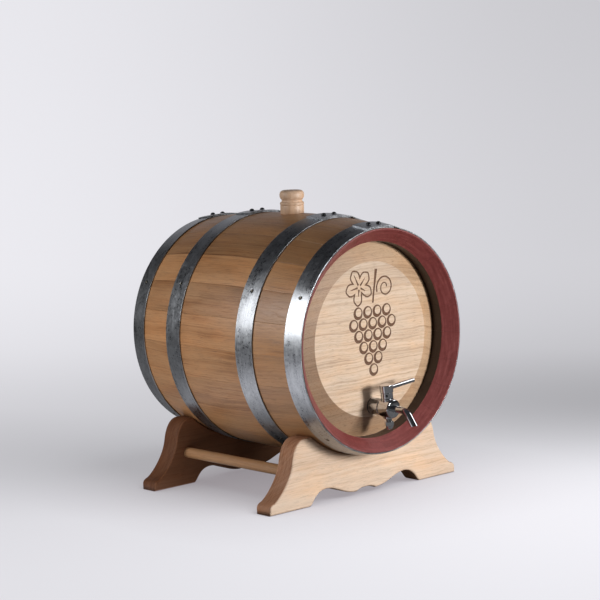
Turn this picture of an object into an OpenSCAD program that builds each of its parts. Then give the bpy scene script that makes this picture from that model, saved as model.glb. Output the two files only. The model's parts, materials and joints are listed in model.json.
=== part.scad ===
// Oak wine barrel, 10-litre class, lying on a two-board cradle stand, with a plug-cock tap.
// Millimetres. The floor is z = 0, the barrel's axis runs along Y, and the tap is at the -Y end.
// The origin is on the floor under the middle of the whole object, tap included,
// so the barrel's own middle is at y = mid_y. Seen from the tap's end, +X is right.

/* [Barrel] */
// Length of the barrel over the stave ends
barrel_l = 302; // [294:1:312]
// Outside radius of the barrel at its widest point, half way along
bilge_r = 145; // [141:0.5:149]
// Outside radius of the barrel at its two ends
end_r = 133; // [131:0.5:134]
// Stave thickness
stave_t = 20; // [18:0.5:21]
// Number of ordinary staves on each side, between the bung stave and the bottom stave
side_staves = 10; // [10:1:10]
// Angle that the bung stave covers, in degrees
bung_stave_deg = 29; // [27:0.5:30]
// Angle that each ordinary stave covers, in degrees
side_stave_deg = 15.5; // [15.2:0.1:15.6]
// Height of the barrel's axis above the floor
axis_z = 188.5; // [187:0.5:192]

/* [Heads] */
// Distance from the middle of the barrel to the outer face of a head
head_out_y = 130; // [128:0.5:131]
// Head thickness at its middle
head_t = 18; // [17:0.5:19]
// Radius of the flat part of a head's outer face, inside its bevel
head_flat_r = 92.7; // [88:0.1:98]
// Radius of the croze wall that the head's rim sits against
croze_wall_r = 117; // [116:0.5:118]
// Depth of the croze groove
croze_depth = 4.6; // [4:0.1:5]
// Height of the top joint between a head's four boards, from the barrel's axis
joint_top = 61; // [56:1:66]
// Height of the middle joint, from the barrel's axis
joint_mid = 1; // [-4:1:6]
// Height of the lowest joint, from the barrel's axis
joint_low = -58; // [-60:1:-52]

/* [Hoops] */
// Hoop thickness
hoop_t = 1.5; // [1:0.1:1.8]
// Width of a head hoop
head_hoop_w = 24.5; // [20:0.5:25]
// Width of a bilge hoop
bilge_hoop_w = 27.1; // [22:0.1:28]
// Distance from the middle of the barrel to the middle of a bilge hoop
bilge_hoop_y = 63.75; // [58:0.25:70]
// Half the angle that the lapped ends of a hoop cover, in degrees
lap_deg = 9.5; // [8:0.5:12]

/* [Stand] */
// Overall width of the stand
stand_w = 315; // [305:1:325]
// Thickness of a cradle board
board_t = 25; // [20:0.5:26]
// Distance from the middle of the barrel to the middle of a cradle board
board_y = 104; // [100:0.5:104]
// Stretcher dowel diameter
dowel_d = 13; // [10:0.5:14]
// Distance of a stretcher dowel from the middle of the stand
dowel_x = 103.5; // [100:0.5:106]
// Height of a stretcher dowel's axis above the floor
dowel_z = 40.4; // [36:0.2:46]

/* [Tap] */
// Height of the tap's shank below the barrel's axis
tap_drop = 80; // [76:0.5:82]
// Lean of the tap about its shank, from how it was screwed in, in degrees
tap_lean = 5; // [0:0.5:8]
// Distance from the middle of the barrel to the plug's axis
plug_y = 155.3; // [154:0.1:157]
// Spout tube outside diameter
spout_d = 8.4; // [7.6:0.2:9]
// Angle of the spout's outlet below the horizontal, in degrees
spout_deg = 58; // [45:1:70]
// Length of the straight outlet of the spout
spout_l = 12.6; // [11:0.2:16]
// Length of the lever from the plug's axis
lever_l = 47; // [38:1:50]
// Lever diameter
lever_d = 5.4; // [4.6:0.2:5.6]

/* [Bung] */
// Height of the bung's top above the barrel's axis
bung_top = 173; // [168:0.5:180]
// Radius of the bung where it enters the stave
bung_r = 14.5; // [13:0.1:15]

/* [Hidden] */
$fn = 96;

oak = "#b98a5c";
oak_dark = "#9a6c43";
oak_pale = "#d9b98f";
steel = "#8f969c";
chrome = "#cfd3d6";
rivet_black = "#2c2b2c";
nail_grey = "#55585b";
outer_washer_grey = "#5d5f60";
inner_washer_grey = "#3b3b3c";
screw_grey = "#3a3b3d";

gap = 0.05; // clearance between parts that fit together

half_l = barrel_l / 2;
head_in_y = head_out_y - head_t;
croze_y = head_out_y - 9.4; // outer side of the croze groove
board_in_y = board_y - board_t / 2; // inner face of a cradle board

// Spout: distances are from the middle of the barrel
spout_r = spout_d / 2;
spout_wall = 0.9;
spout_in_y = 162.2; // end of the spout inside the tap's body
bend_y = 177; // start of the spout's bend
bend_r = 14;
tip_deg = 22; // how far the cut at the spout's end is turned towards level
tip_fall = spout_r * tan(tip_deg); // how much longer the spout's front side is than its middle
// How far the spout's end reaches in front of the middle of the barrel
tap_reach = bend_y + bend_r * sin(spout_deg) + spout_l * cos(spout_deg)
    + spout_r * sin(spout_deg) + tip_fall * cos(spout_deg);
mid_y = (tap_reach - half_l) / 2;
tap_z = axis_z - tap_drop;
shank_r = 7.9;

// Radius of the arc that gives the staves their bilge
bulge = bilge_r - end_r;
arc_r = (half_l * half_l + bulge * bulge) / (2 * bulge);
// Outside radius of the barrel at the distance y from its middle
function stave_r(y) = bilge_r - (arc_r - sqrt(arc_r * arc_r - y * y));
// Slope of the outside surface at y, in degrees
function slope(y) = asin(-y / arc_r);

// Cubic curves joined end to end. Points: start, two pulls, end, two pulls, end, and so on.
// Steps: one number for each curve.
function curves(points, steps) = concat([points[0]],
    [for (k = [0:len(steps) - 1]) for (i = [1:steps[k]])
        let (done = i / steps[k], rest = 1 - done)
        rest * rest * rest * points[3 * k] + 3 * done * rest * rest * points[3 * k + 1]
        + 3 * done * done * rest * points[3 * k + 2] + done * done * done * points[3 * k + 3]]);
// Circular arc from one angle to another
function arc(center, radius, from, to, steps) = [for (i = [0:steps])
    let (a = from + (to - from) * i / steps) center + radius * [cos(a), sin(a)]];
// The points in reverse order with x and y multiplied by flip, down to the given first one
function mirrored(points, flip, first = 0) = [for (i = [len(points) - 1:-1:first])
    [flip[0] * points[i][0], flip[1] * points[i][1]]];

// Turns a shape drawn about Z into one about the barrel's axis, so that its angle 0 points up
module barrel_frame()
    translate([0, mid_y, axis_z]) rotate([-90, 0, 0]) rotate([0, 0, -90]) children();
// Mirrors a shape drawn at the front of the barrel to its rear
module rear() translate([0, 2 * mid_y, 0]) mirror([0, 1, 0]) children();
// The tap's own frame: origin on the shank's axis, leaning with the tap
module tap_frame() translate([0, mid_y, tap_z]) rotate([0, -tap_lean, 0]) children();
module plug_frame() tap_frame() translate([0, -plug_y, 0]) children();
// Z runs forward out of the head, from the middle of the barrel
module along_shank() tap_frame() rotate([90, 0, 0]) children();

// ---- hoop places, and the nails and rivets through the hoops ----
hoop_gap = 0.15;
head_hoop_y = half_l - 0.5 - head_hoop_w / 2;
// Each hoop: distance of its middle from the middle of the barrel, and its width
HOOPS = [[-head_hoop_y, head_hoop_w], [-bilge_hoop_y, bilge_hoop_w],
    [bilge_hoop_y, bilge_hoop_w], [head_hoop_y, head_hoop_w]];
// Angles from the top
NAIL_DEG = [-142, -62.4, 62.4, 142];
RIVET_DEG = [-3.4, 3.4];
nail_r = 0.8;
nail_l = 9.5;
nail_hole_depth = 9.2; // in the staves, below the hoop's inner face
rivet_r = 1.6;

// Inside radius of a hoop at its middle
function hoop_r(hoop) =
    (stave_r(hoop[0] - hoop[1] / 2) + stave_r(hoop[0] + hoop[1] / 2)) / 2 + hoop_gap;
// Middle of a hoop's inner face at the angle deg from the top, with Z pointing straight out
module on_hoop(hoop, deg)
    translate([0, mid_y, axis_z]) rotate([0, deg, 0]) translate([0, hoop[0], hoop_r(hoop)])
        rotate([slope(hoop[0]), 0, 0]) children();

// ---- staves ----
outside_steps = 24;
hollow_steps = 16;
hollow_y = 104; // end of the curved hollow, from the middle of the barrel
stave_gap = 0.03; // half the gap at each stave joint, in degrees
chime_depth = 14.8; // from the stave end to the inner edge of the chime's bevel
chime_land = 1.5; // flat ring at the stave end, outside the bevel
croze_w = 6.2;

module stave_section() {
    groove_r = croze_wall_r + croze_depth;
    groove_in_y = croze_y - croze_w;
    end_points = [[end_r - chime_land, half_l], [croze_wall_r, half_l - chime_depth],
        [croze_wall_r, croze_y], [groove_r, croze_y], [groove_r, groove_in_y],
        [croze_wall_r + 0.6, groove_in_y]];
    polygon(concat(
        [for (i = [0:outside_steps])
            let (y = -half_l + barrel_l * i / outside_steps) [stave_r(y), y]],
        end_points,
        [for (i = [0:hollow_steps])
            let (y = hollow_y - 2 * hollow_y * i / hollow_steps) [stave_r(y) - stave_t, y]],
        mirrored(end_points, [1, -1])));
}

// A stave between two angles from the top, drilled for the nails that fall within it
module stave(from, to) color(oak) difference() {
    barrel_frame() rotate([0, 0, from + stave_gap])
        rotate_extrude(angle = to - from - 2 * stave_gap) stave_section();
    for (hoop = HOOPS) for (deg = NAIL_DEG)
        if (cos(deg - (from + to) / 2) > cos((to - from) / 2))
            on_hoop(hoop, deg) translate([0, 0, -nail_hole_depth])
                cylinder(h = 12, r = nail_r + gap);
}

// Side stave number i, counted down from the bung stave; side is -1 for left and 1 for right
module side_stave(i, side) {
    from = bung_stave_deg / 2 + (i - 1) * side_stave_deg;
    to = from + side_stave_deg;
    if (side > 0) stave(from, to);
    else stave(-to, -from);
}

module bung_hole() translate([0, mid_y, axis_z + 110])
    cylinder(h = 45, r1 = bung_r - 1.95, r2 = bung_r + 0.3);

module stave_bung() color(oak) difference() {
    stave(-bung_stave_deg / 2, bung_stave_deg / 2);
    bung_hole();
}

module stave_bottom() {
    from = bung_stave_deg / 2 + side_staves * side_stave_deg;
    stave(from, 360 - from);
}

// ---- heads, modelled at the front; the rear one is mirrored ----
head_rim_t = 6;
rim_y = croze_y - 0.1; // outer side of the head's rim
rim_r = croze_wall_r + croze_depth - 0.1;
rim_foot_r = croze_wall_r - 0.5; // where the rim meets the bevels
head_in_flat_r = 104; // flat part of the inner face
cut_reach = 140; // beyond the head on every side
pin_r = 3;
pin_l = 30;
// Top limit, the three joints, bottom limit
JOINTS = [cut_reach, joint_top, joint_mid, joint_low, -cut_reach];
// Pins: distance along the joint and height of the joint
PINS = [[-45, joint_top], [45, joint_top], [-66, joint_mid], [0, joint_mid], [66, joint_mid],
    [-45, joint_low], [45, joint_low]];

// Drawn as radius and distance from the middle of the barrel
module head_disc() translate([0, mid_y, axis_z]) rotate([90, 0, 0]) rotate_extrude()
    polygon([[0, head_in_y], [head_in_flat_r, head_in_y], [rim_foot_r, rim_y - head_rim_t],
        [rim_r, rim_y - head_rim_t], [rim_r, rim_y], [rim_foot_r, rim_y],
        [head_flat_r, head_out_y], [0, head_out_y]]);

module pin_at(place, radius, length)
    translate([place[0], mid_y - (head_out_y + head_in_y) / 2, axis_z + place[1] - length / 2])
        cylinder(h = length, r = radius);

// Board number i, counted down from the top; a tapped head has the shank's hole in board 4
module head_board(i, tapped) color(oak_pale) difference() {
    intersection() {
        head_disc();
        translate([-cut_reach, mid_y - cut_reach, axis_z + JOINTS[i] + gap])
            cube([2 * cut_reach, 60, JOINTS[i - 1] - JOINTS[i] - 2 * gap]);
    }
    for (place = PINS) if (place[1] == JOINTS[i] || place[1] == JOINTS[i - 1])
        pin_at(place, pin_r + gap, pin_l + 1);
    if (tapped && i == 4)
        along_shank() translate([0, 0, 90]) cylinder(h = 60, r = shank_r + 0.2);
}
module front_board(i) head_board(i, true);
module rear_board(i) rear() head_board(i, false);

module front_pins() for (place = PINS) pin_at(place, pin_r, pin_l);
module head_dowel_pins() color(oak_dark) {
    front_pins();
    rear() front_pins();
}

// ---- hoops ----
// Band between two heights above the hoop's inner face
module hoop_section(hoop, low, high) {
    front_y = hoop[0] - hoop[1] / 2;
    rear_y = hoop[0] + hoop[1] / 2;
    front_r = stave_r(front_y) + hoop_gap;
    rear_r = stave_r(rear_y) + hoop_gap;
    polygon([[front_r + low, front_y], [front_r + high, front_y],
        [rear_r + high, rear_y], [rear_r + low, rear_y]]);
}

// Full ring, starting near the bottom, with the lapped ends on top
module hoop(hoop) color(steel) difference() {
    union() {
        barrel_frame() rotate([0, 0, 173]) rotate_extrude() hoop_section(hoop, 0, hoop_t);
        barrel_frame() rotate([0, 0, -lap_deg]) rotate_extrude(angle = 2 * lap_deg)
            hoop_section(hoop, hoop_t / 2, 2 * hoop_t);
    }
    for (deg = NAIL_DEG)
        on_hoop(hoop, deg) translate([0, 0, -2]) cylinder(h = 8, r = nail_r + gap);
    for (deg = RIVET_DEG)
        on_hoop(hoop, deg) translate([0, 0, -2]) cylinder(h = 10, r = rivet_r + gap);
}

// Round-headed pin, with the underside of its head at z = 0
module headed_pin(head_r, head_h, pin_radius, pin_length) {
    edge = 0.18; // upright part of the head's edge, as a share of its height
    rotate_extrude() polygon(concat(
        [[0, -pin_length], [pin_radius, -pin_length], [pin_radius, 0], [head_r, 0],
         [head_r, head_h * edge]],
        [for (i = [1:8]) let (a = 90 * i / 8)
            [head_r * cos(a), head_h * (edge + (1 - edge) * sin(a))]]));
}

module hoop_rivets() color(rivet_black) for (hoop = HOOPS) for (deg = RIVET_DEG)
    on_hoop(hoop, deg) translate([0, 0, 2 * hoop_t + gap])
        headed_pin(3, 2.7, rivet_r, 2 * hoop_t);

module hoop_nails() color(nail_grey) for (hoop = HOOPS) for (deg = NAIL_DEG)
    on_hoop(hoop, deg) translate([0, 0, hoop_t + 0.04]) headed_pin(1.7, 0.9, nail_r, nail_l);

// ---- bung ----
// Outline: radius and height above the barrel's axis
module bung() color(oak_pale) translate([0, mid_y, axis_z]) rotate_extrude() polygon(concat(
    [[0, 123], [bung_r - 1.4, 123], [bung_r - 0.3, bilge_r], [bung_r, bilge_r + 0.8],
     [bung_r, 154.6], [bung_r - 0.5, 155]],
    curves([[bung_r + 0.2, 155.6],
        [bung_r + 0.6, 157.2], [bung_r + 0.2, 158.4], [bung_r - 1.2, 158.9],
        [bung_r - 2.4, 160], [bung_r - 2.2, 161.4], [bung_r - 0.6, 162.8],
        [bung_r + 0.9, 164.4], [bung_r + 0.9, bung_top - 4], [bung_r - 0.3, bung_top - 2.2],
        [bung_r - 1.4, bung_top - 0.6], [bung_r - 3, bung_top], [bung_r - 5, bung_top]],
        [6, 6, 8, 6]),
    [[0, bung_top]]));

// ---- tap, fixed parts ----
body_r = 11.4;
neck_r = body_r - 2.6; // between the collar and the body
collar_r = 10.2;
outer_washer_t = 0.9;
inner_washer_t = 2;
collar_y = head_out_y + outer_washer_t + 2 * gap; // rear face of the collar
shank_in_y = 96; // inner end of the shank
lock_nut_h = 7;
seat_z = 12; // top of the plug's seat above the shank's axis
seat_depth = 12.3; // bottom of the plug's seat below the shank's axis
// Radius of the plug's tapered seat at the height z above the shank's axis
function taper_r(z) = 5.6 + z * 0.058;

// Outline: radius and distance from the middle of the barrel
module tap_body() color(chrome) difference() {
    union() {
        along_shank() rotate_extrude() polygon(concat(
            [[0, shank_in_y], [shank_r - 0.8, shank_in_y], [shank_r, shank_in_y + 0.8],
             [shank_r, collar_y], [collar_r - 0.6, collar_y], [collar_r, collar_y + 0.6]],
            arc([collar_r - 1.2, 145.5], 1.2, 0, 90, 5),
            [[neck_r, 146.7], [neck_r, 148.2]],
            arc([body_r - 1, 149.2], 1, -90, 0, 5),
            arc([body_r - 3, 163], 3, 0, 62, 8),
            [[6.5, 166], [0, 166]]));
        plug_frame() cylinder(h = seat_z, r = 7.6);
        plug_frame() translate([0, 0, -seat_depth]) cylinder(h = seat_depth, r = 6.6);
    }
    along_shank() translate([0, 0, 90]) cylinder(h = 66, r = 4);
    along_shank() translate([0, 0, 155]) cylinder(h = 12, r = spout_r + gap);
    plug_frame() translate([0, 0, -20]) cylinder(h = 40, r1 = taper_r(-20), r2 = taper_r(20));
}

// The bend turns about this frame's Z, starting bend_r out along its X
module spout_frame() tap_frame()
    multmatrix([[0, 0, 1, 0], [0, -1, 0, -bend_y], [1, 0, 0, -bend_r], [0, 0, 0, 1]])
        children();
// Z runs out along the straight outlet, from the end of the bend
module spout_end() spout_frame()
    rotate([0, 0, spout_deg]) translate([bend_r, 0, 0]) rotate([-90, 0, 0]) children();

// Solid rod along the spout, lengthened by extra at its inner end
module spout_solid(radius, extra) {
    along_shank() translate([0, 0, spout_in_y - extra])
        cylinder(h = bend_y - spout_in_y + extra, r = radius);
    // The bead covers the short stretch that the bend leaves open
    spout_frame() rotate_extrude(angle = spout_deg - 0.6)
        translate([bend_r, 0]) circle(r = radius);
    // Narrow bead where the bend meets the straight outlet
    spout_end() translate([0, 0, -0.6]) cylinder(h = 1.2, r = radius + 0.22);
    spout_end() cylinder(h = spout_l + 6, r = radius);
}

module tap_spout() color(chrome) difference() {
    spout_solid(spout_r, 0);
    spout_solid(spout_r - spout_wall, 1);
    spout_end() translate([0, 0, spout_l]) rotate([0, -tip_deg, 0])
        translate([-10, -10, 0]) cube([20, 20, 20]);
}

// Washer round the shank, its inner face at y from the middle of the barrel
module shank_washer(y, thickness, radius) along_shank() translate([0, 0, y]) difference() {
    cylinder(h = thickness, r = radius);
    translate([0, 0, -1]) cylinder(h = thickness + 2, r = shank_r + gap);
}
module tap_outer_washer() color(outer_washer_grey)
    shank_washer(head_out_y + gap, outer_washer_t, collar_r - 0.3);
module tap_inner_washer() color(inner_washer_grey)
    shank_washer(head_in_y - inner_washer_t - gap, inner_washer_t, 12);

// Hexagonal nut with bevelled corners: each bevel is inset wide and bevel_h high
module hex_nut(radius, height, inset, bevel_h) intersection() {
    cylinder(h = height, r = radius, $fn = 6);
    rotate_extrude() polygon([[0, 0], [radius - inset, 0], [radius, bevel_h],
        [radius, height - bevel_h], [radius - inset, height], [0, height]]);
}

module tap_lock_nut() color(chrome) along_shank()
    translate([0, 0, head_in_y - inner_washer_t - lock_nut_h - 2 * gap]) difference() {
        hex_nut(12.7, lock_nut_h, 1.1, 0.9);
        translate([0, 0, -1]) cylinder(h = lock_nut_h + 2, r = shank_r + gap);
    }

// ---- tap, turning parts; heights are from the shank's axis ----
stem_r = 4; // above the plug, inside the hub
stem_top = 20;
tail_r = 2.45; // below the plug
tail_depth = 22;
hub_r = 8;
hub_top = 28.4;
lever_z = 23.7;
lever_back = 3.9; // how far the lever reaches behind the plug's axis
lever_round = 0.7;
screw_r = 1.5;
cap_nut_depth = 21.4; // bottom of the cap nut's hexagon
cap_nut_r = 5.6;
cap_dome_r = 4.5;

// The cross bore lies across the shank
module tap_plug() color(chrome) plug_frame() difference() {
    union() {
        translate([0, 0, -seat_depth]) cylinder(h = seat_z + seat_depth,
            r1 = taper_r(-seat_depth) - 0.06, r2 = taper_r(seat_z) - 0.06);
        cylinder(h = stem_top, r = stem_r);
        translate([0, 0, -tail_depth]) cylinder(h = 20, r = tail_r);
    }
    rotate([0, 90, 0]) translate([0, 0, -10]) cylinder(h = 20, r = 3.4);
}

module tap_handle_hub() color(chrome) plug_frame() difference() {
    rotate_extrude() polygon(concat(
        [[0, seat_z + 0.1], [6.9, seat_z + 0.1], [7.3, seat_z + 0.5], [7.3, 18.8],
         [hub_r, 19.4]],
        arc([hub_r - 0.8, hub_top - 0.8], 0.8, 0, 90, 5),
        [[0, hub_top]]));
    cylinder(h = stem_top + 0.2, r = stem_r + gap);
    translate([-lever_back - 0.1, 0, lever_z]) rotate([0, 90, 0])
        cylinder(h = 14, r = lever_d / 2 + gap);
    screw_frame() cylinder(h = 10, r = screw_r + gap);
}
// Z is the set screw's axis: it points out of the hub towards the left front
module screw_frame() rotate([0, 0, -137]) translate([0, 0, 16.2]) rotate([0, 90, 0]) children();

module tap_lever() color(chrome) plug_frame() translate([-lever_back, 0, lever_z])
    rotate([0, 90, 0]) rotate_extrude() polygon(concat(
        [[0, 0], [lever_d / 2, 0]],
        arc([lever_d / 2 - lever_round, lever_l + lever_back - lever_round],
            lever_round, 0, 90, 4),
        [[0, lever_l + lever_back]]));

module tap_set_screw() color(screw_grey) plug_frame() screw_frame() difference() {
    translate([0, 0, stem_r + gap]) cylinder(h = 2.7, r = screw_r);
    translate([0, 0, 5.4]) cylinder(h = 3, r = 0.85, $fn = 6);
}

// Three disc springs stacked on the plug's tail
module tap_spring_washers() color(steel) plug_frame() for (i = [0:2])
    translate([0, 0, -13.4 - i * 1.08]) rotate_extrude()
        polygon([[tail_r + 0.1, 0.45], [3.9, 0], [3.9, 0.5], [tail_r + 0.1, 0.95]]);

// Hexagon with a dome below it
module tap_cap_nut() color(chrome) plug_frame() difference() {
    translate([0, 0, -cap_nut_depth]) union() {
        hex_nut(cap_nut_r, 5.6, 0.6, 0.6);
        rotate_extrude() polygon(concat(
            [[0, 0.5], [cap_dome_r, 0.5], [cap_dome_r, 0]],
            [for (i = [0:8]) let (a = 90 * i / 8) [cap_dome_r * cos(a), -1 - 4.1 * sin(a)]]));
    }
    translate([0, 0, -tail_depth - 0.3]) cylinder(h = 12, r = tail_r + gap);
}

// ---- stand ----
dowel_in = 12; // how far a stretcher reaches into a board
dowel_bevel = 1;
barrel_gap = 0.12; // between the barrel and the cradle's hollow

// Right half of a cradle board's outline, x and z, from the middle of its underside to its
// horn; side_x is the board's right edge
function half_outline(side_x) = concat(
    curves([[0, 8.2],
        [5, 8.2], [10, 8], [16, 4.8],
        [38, 5.2], [50, 16.8], [66, 16.8],
        [85, 16.6], [87, 2], [93, 0]], [6, 10, 12]),
    [[side_x, 0]],
    curves([[side_x, 6.5],
        [side_x, 10.5], [side_x - 3, 12.5], [side_x - 7.5, 13.8],
        [side_x - 17.5, 20], [side_x - 33.5, 38], [side_x - 36.5, 56],
        [side_x - 38.5, 68], [side_x - 44.5, 82.3], [side_x - 57.5, 82.3]], [5, 12, 12]));

// The front board
module cradle() {
    half = half_outline(stand_w / 2);
    difference() {
        translate([0, mid_y - board_in_y, 0]) rotate([90, 0, 0])
            linear_extrude(height = board_t) polygon(concat(half, mirrored(half, [-1, 1], 1)));
        // Hollow for the barrel, a little longer than the board is thick
        barrel_frame() rotate_extrude() polygon(concat(
            [[0, -board_y - 15]],
            [for (step = [-15, 0, 15]) let (y = step - board_y) [stave_r(y) + barrel_gap, y]],
            [[0, -board_y + 15]]));
        for (side = [-1, 1]) translate([side * dowel_x, mid_y - board_in_y + 1, dowel_z])
            rotate([90, 0, 0]) cylinder(h = dowel_in + 1.2, r = dowel_d / 2 + gap);
    }
}
module cradle_front() color(oak_pale) cradle();
module cradle_rear() color(oak_pale) rear() cradle();

// side is -1 for left and 1 for right
module stretcher(side) {
    length = 2 * (board_in_y + dowel_in);
    end_radius = dowel_d / 2 - dowel_bevel;
    color(oak) translate([side * dowel_x, mid_y + length / 2, dowel_z]) rotate([90, 0, 0])
        rotate_extrude() polygon([[0, 0], [end_radius, 0], [dowel_d / 2, dowel_bevel],
            [dowel_d / 2, length - dowel_bevel], [end_radius, length], [0, length]]);
}

stave_bung();
side_stave(1, -1);  // stave_left_01
side_stave(2, -1);  // stave_left_02
side_stave(3, -1);  // stave_left_03
side_stave(4, -1);  // stave_left_04
side_stave(5, -1);  // stave_left_05
side_stave(6, -1);  // stave_left_06
side_stave(7, -1);  // stave_left_07
side_stave(8, -1);  // stave_left_08
side_stave(9, -1);  // stave_left_09
side_stave(10, -1);  // stave_left_10
side_stave(1, 1);  // stave_right_01
side_stave(2, 1);  // stave_right_02
side_stave(3, 1);  // stave_right_03
side_stave(4, 1);  // stave_right_04
side_stave(5, 1);  // stave_right_05
side_stave(6, 1);  // stave_right_06
side_stave(7, 1);  // stave_right_07
side_stave(8, 1);  // stave_right_08
side_stave(9, 1);  // stave_right_09
side_stave(10, 1);  // stave_right_10
stave_bottom();
front_board(1);  // head_front_board_1
front_board(2);  // head_front_board_2
front_board(3);  // head_front_board_3
front_board(4);  // head_front_board_4
rear_board(1);  // head_rear_board_1
rear_board(2);  // head_rear_board_2
rear_board(3);  // head_rear_board_3
rear_board(4);  // head_rear_board_4
head_dowel_pins();
hoop(HOOPS[0]);  // hoop_head_front
hoop(HOOPS[1]);  // hoop_bilge_front
hoop(HOOPS[2]);  // hoop_bilge_rear
hoop(HOOPS[3]);  // hoop_head_rear
hoop_rivets();
hoop_nails();
bung();
tap_body();
tap_spout();
tap_plug();
tap_handle_hub();
tap_lever();
tap_set_screw();
tap_spring_washers();
tap_cap_nut();
tap_outer_washer();
tap_inner_washer();
tap_lock_nut();
cradle_front();
cradle_rear();
stretcher(-1);  // stretcher_left
stretcher(1);  // stretcher_right
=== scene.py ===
# An oak barrel lying on a two-board stand, with a tap in its front head.
# The barrel's axis runs along Y with the front head toward -Y; left is -X, and Z is up from
# the floor. Shapes are worked out in millimetres and turned into metres as meshes are made.
import json
from math import acos, asin, cos, pi, radians, sin, tan

import bmesh
import bpy
import numpy as np
from mathutils import Matrix, Vector

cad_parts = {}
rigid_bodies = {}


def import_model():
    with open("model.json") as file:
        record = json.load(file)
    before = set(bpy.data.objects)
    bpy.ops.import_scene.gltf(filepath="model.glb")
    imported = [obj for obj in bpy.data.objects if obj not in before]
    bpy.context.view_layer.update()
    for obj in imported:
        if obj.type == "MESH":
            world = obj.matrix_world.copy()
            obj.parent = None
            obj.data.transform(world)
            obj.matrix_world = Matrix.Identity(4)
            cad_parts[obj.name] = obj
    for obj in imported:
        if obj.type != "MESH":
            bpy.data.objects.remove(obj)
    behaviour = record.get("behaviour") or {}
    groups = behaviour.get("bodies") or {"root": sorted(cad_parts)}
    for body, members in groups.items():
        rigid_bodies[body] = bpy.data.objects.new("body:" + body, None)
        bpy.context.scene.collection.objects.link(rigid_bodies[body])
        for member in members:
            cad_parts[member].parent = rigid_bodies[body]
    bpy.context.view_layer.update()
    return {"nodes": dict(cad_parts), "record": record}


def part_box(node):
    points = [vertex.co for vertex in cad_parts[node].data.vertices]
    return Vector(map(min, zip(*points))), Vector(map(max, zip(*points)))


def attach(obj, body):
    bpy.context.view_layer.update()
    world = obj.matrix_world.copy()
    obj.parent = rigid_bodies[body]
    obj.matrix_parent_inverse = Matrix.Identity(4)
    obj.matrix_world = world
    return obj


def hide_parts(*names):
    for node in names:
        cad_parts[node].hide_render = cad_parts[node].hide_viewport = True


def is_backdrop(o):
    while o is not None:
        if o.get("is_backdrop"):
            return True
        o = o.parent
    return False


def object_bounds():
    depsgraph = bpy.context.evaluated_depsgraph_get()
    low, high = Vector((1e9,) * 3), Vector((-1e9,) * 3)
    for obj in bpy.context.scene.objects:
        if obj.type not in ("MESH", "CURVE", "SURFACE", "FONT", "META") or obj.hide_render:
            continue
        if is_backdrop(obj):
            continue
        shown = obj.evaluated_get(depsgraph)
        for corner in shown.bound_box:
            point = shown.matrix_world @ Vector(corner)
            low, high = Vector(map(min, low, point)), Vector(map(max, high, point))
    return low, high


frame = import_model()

scene = bpy.context.scene
scene.view_settings.view_transform = "Standard"
scene.view_settings.look = "None"
BODY_OF = {n: body for body, ns in frame["record"]["behaviour"]["bodies"].items() for n in ns}


# ---------------------------------------------------------------- places read from the frame
def middle(low, high):
    """Halfway between two metre values, in millimetres."""
    return (low + high) * 500


def half(low, high):
    """Half the distance between two metre values, in millimetres."""
    return (high - low) * 500


front_low, front_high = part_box("hoop_head_front")
MID_Y = middle(front_low.y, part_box("hoop_head_rear")[1].y)
AXIS_Z = front_low.z * 1000 + half(front_low.x, front_high.x)
low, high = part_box("stave_left_05")
HALF_LENGTH = half(low.y, high.y)
low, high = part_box("tap_outer_washer")
TAP_Z = middle(low.z, high.z)                      # the tap's shank
low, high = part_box("tap_lever")
PLUG_Y = MID_Y - middle(low.y, high.y)             # the plug's axis, in front of the middle
low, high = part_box("cradle_front")
STAND_HALF = half(low.x, high.x)
BOARD_OUT = MID_Y - low.y * 1000                   # a stand board's faces, from the middle
BOARD_IN = MID_Y - high.y * 1000
low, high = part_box("stretcher_left")
DOWEL_X = abs(middle(low.x, high.x))
DOWEL_Z = middle(low.z, high.z)
DOWEL_R = half(low.z, high.z)
DOWEL_HALF = half(low.y, high.y)
BUNG_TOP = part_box("bung")[1].z * 1000 - AXIS_Z
HOOPS = {}                                         # node: (y from the middle, width)
for key in ("hoop_head_front", "hoop_bilge_front", "hoop_bilge_rear", "hoop_head_rear"):
    low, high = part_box(key)
    HOOPS[key] = (middle(low.y, high.y) - MID_Y, (high.y - low.y) * 1000)

# ---------------------------------------------------------------- sizes
BILGE_R, END_R, STAVE_T = 145.0, 133.0, 20.0       # outer radii at the middle and the ends
ARC_R = (HALF_LENGTH**2 + (BILGE_R - END_R) ** 2) / (2 * (BILGE_R - END_R))
WALL_R = 117.0                                     # bore between the head and the stave ends
GROOVE_OUT, GROOVE_IN, GROOVE_DEPTH = 120.6, 114.4, 4.6     # the groove that holds a head
HEAD_OUT, HEAD_IN, FLAT_R = 130.0, 112.0, 92.7     # head faces from the middle, raised flat
HEAD_JOINTS = (61, 1, -58)                         # heights of the joints above the axis
HEAD_GAP = 0.05                                    # half the gap between two boards
HOOP_T, LAP = 1.5, 9.5                             # thickness; half the overlap in degrees
NAIL_DEGREES = (62.4, 142.0)                       # hoop nails on each side, from the top
SHANK_R, TAP_LEAN = 7.9, 5.0                       # lean in degrees
BUNG_HALF, SIDE_STEP, SIDE_COUNT = 14.5, 15.5, 10  # stave widths in degrees


def stave_r(y):
    """The barrel's outer radius at a distance from its middle."""
    return BILGE_R - (ARC_R - np.sqrt(ARC_R**2 - np.asarray(y, float) ** 2))


def cosd(degrees):
    return cos(radians(degrees))


def sind(degrees):
    return sin(radians(degrees))


# ---------------------------------------------------------------- mesh helpers
class Geo:
    """Vertices and faces gathered for one mesh."""

    def __init__(self):
        self.verts, self.faces = [], []

    def add(self, verts, faces):
        first = len(self.verts)
        self.verts += [tuple(map(float, p)) for p in verts]
        self.faces += [tuple(i + first for i in face) for face in faces]


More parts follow.
